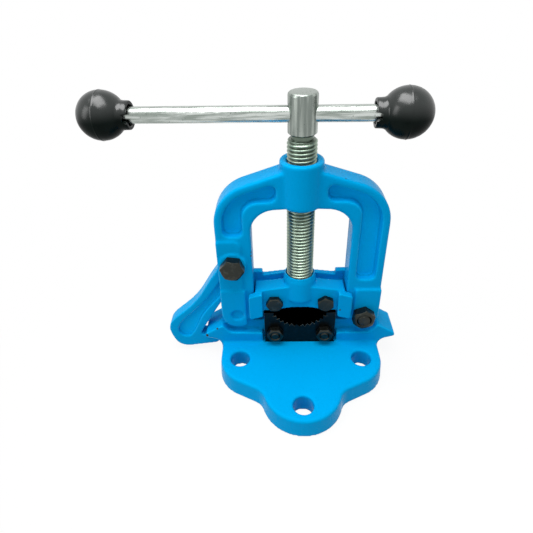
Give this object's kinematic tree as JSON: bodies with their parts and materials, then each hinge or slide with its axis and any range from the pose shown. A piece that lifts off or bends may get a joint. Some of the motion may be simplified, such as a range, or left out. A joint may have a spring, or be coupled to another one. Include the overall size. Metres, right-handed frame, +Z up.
{
  "type": "pipe vise",
  "caption": "Bench pipe vise: three-holed foot plate, hinged yoke with latch hook, toothed jaws, clamp screw and sliding bar with ball ends.",
  "frame": {"origin": "on the flat underside of the base, straight below the clamp screw's axis", "axes": "+X to the hinge side, +Y to the back, away from the foot plate's front lobe, +Z up along the clamp screw"},
  "size_m": [0.2141, 0.1061, 0.2087],
  "materials": {
    "blue_casting": "glossy sky-blue paint over a casting",
    "blackened_jaw": "hardened and oil-blackened",
    "black_fastener": "black oxide",
    "hidden_steel": "ground and hardened",
    "zinc_steel": "bright zinc plate",
    "black_knob": "moulded, satin black"
  },
  "bodies": {
    "base": {"base": "blue_casting", "lower_jaw": "blackened_jaw", "lower_jaw_bolts": "black_fastener", "lower_jaw_nuts": "black_fastener", "hinge_bolt": "black_fastener", "hinge_nut": "black_fastener"},
    "yoke": {"yoke": "blue_casting", "latch_bolt": "black_fastener", "latch_nut": "black_fastener"},
    "latch": {"latch_hook": "blue_casting"},
    "carrier": {"jaw_carrier": "blue_casting", "upper_jaw": "blackened_jaw", "upper_jaw_bolts": "black_fastener", "upper_jaw_nuts": "black_fastener", "thrust_pad": "hidden_steel", "retaining_pins": "hidden_steel"},
    "screw": {"clamp_screw": "zinc_steel"},
    "bar": {"tommy_bar": "zinc_steel", "left_knob": "black_knob", "right_knob": "black_knob"}
  },
  "joints": [
    {"name": "yoke_hinge", "type": "hinge", "parent": "base", "child": "yoke", "pos_m": [0.0473, 0, 0.0426], "axis": [0, 1, 0], "range_deg": [0, 80]},
    {"name": "latch_swing", "type": "hinge", "parent": "yoke", "child": "latch", "pos_m": [-0.048, 0, 0.0895], "axis": [0, 1, 0], "range_deg": [0, 70]},
    {"name": "carrier_slide", "type": "slide", "parent": "yoke", "child": "carrier", "axis": [0, 0, 1], "range_m": [0, 0.0501]},
    {"name": "screw_spin", "type": "hinge", "parent": "carrier", "child": "screw", "pos_m": [0, 0, 0], "axis": [0, 0, 1], "range_deg": [0, 7086]},
    {"name": "bar_slide", "type": "slide", "parent": "screw", "child": "bar", "axis": [0.9984, -0.0558, 0], "range_m": [-0.032, 0.095]}
  ],
  "couplings": [
    {"joint": "carrier_slide", "follows": "screw_spin", "m_per_rad": 0.00040425}
  ]
}
